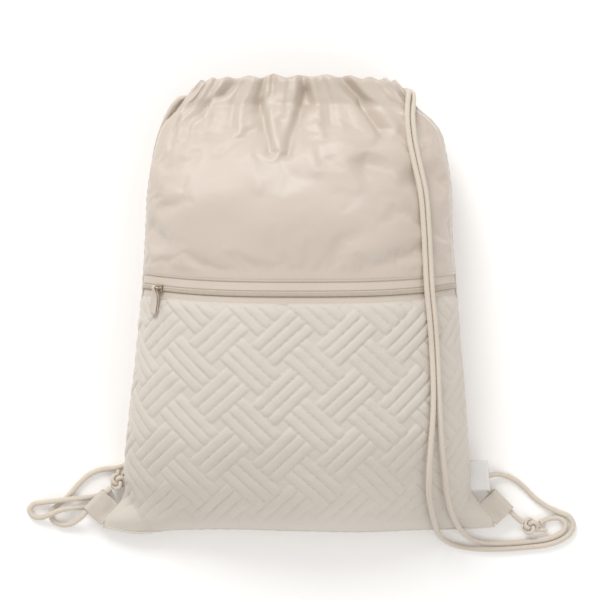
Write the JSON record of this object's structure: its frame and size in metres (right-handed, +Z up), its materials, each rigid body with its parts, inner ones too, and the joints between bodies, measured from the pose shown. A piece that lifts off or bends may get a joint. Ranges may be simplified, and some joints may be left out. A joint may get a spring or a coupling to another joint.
{
  "type": "drawstring backpack",
  "caption": "Soft drawstring backpack lying on its back: gathered satin top with a cord casing, zip, quilted padded front pocket, corner tabs and draw cords.",
  "frame": {"origin": "on the flat of the back, under the middle of the bag, at the surface that it lies on", "axes": "+Z up out of the front, +Y towards the gathered mouth, +X to the right as the front is seen"},
  "size_m": [0.5063, 0.4413, 0.1125],
  "materials": {
    "satin_front": "satin polyester, soft sheen",
    "satin_back": "satin polyester, soft sheen",
    "satin_casing": "satin polyester, gathered",
    "quilted_cloth": "matt quilted polyester",
    "zip_tape": "woven zip tape",
    "zip_coil": "nylon coil",
    "zip_metal": "lacquered cast metal",
    "pull_tape": "narrow woven tape",
    "webbing": "ribbed webbing",
    "label_ribbon": "silver grey satin ribbon",
    "cotton_cord": "braided cord"
  },
  "bodies": {
    "root": {"front_satin_panel": "satin_front", "quilted_pocket_panel": "quilted_cloth", "back_panel": "satin_back", "casing_front": "satin_casing", "casing_back": "satin_casing", "zip_tape_upper": "zip_tape", "zip_tape_lower": "zip_tape", "zip_coil": "zip_coil", "zip_slider": "zip_metal", "zip_pull": "pull_tape", "corner_tab_right": "webbing", "corner_tab_left": "webbing", "side_label": "label_ribbon", "cord_right_1": "cotton_cord", "cord_right_2": "cotton_cord", "cord_left_1": "cotton_cord", "cord_left_2": "cotton_cord", "cord_right_in_casing": "cotton_cord", "cord_left_in_casing": "cotton_cord", "knot_right": "cotton_cord", "knot_left": "cotton_cord"}
  },
  "joints": []
}
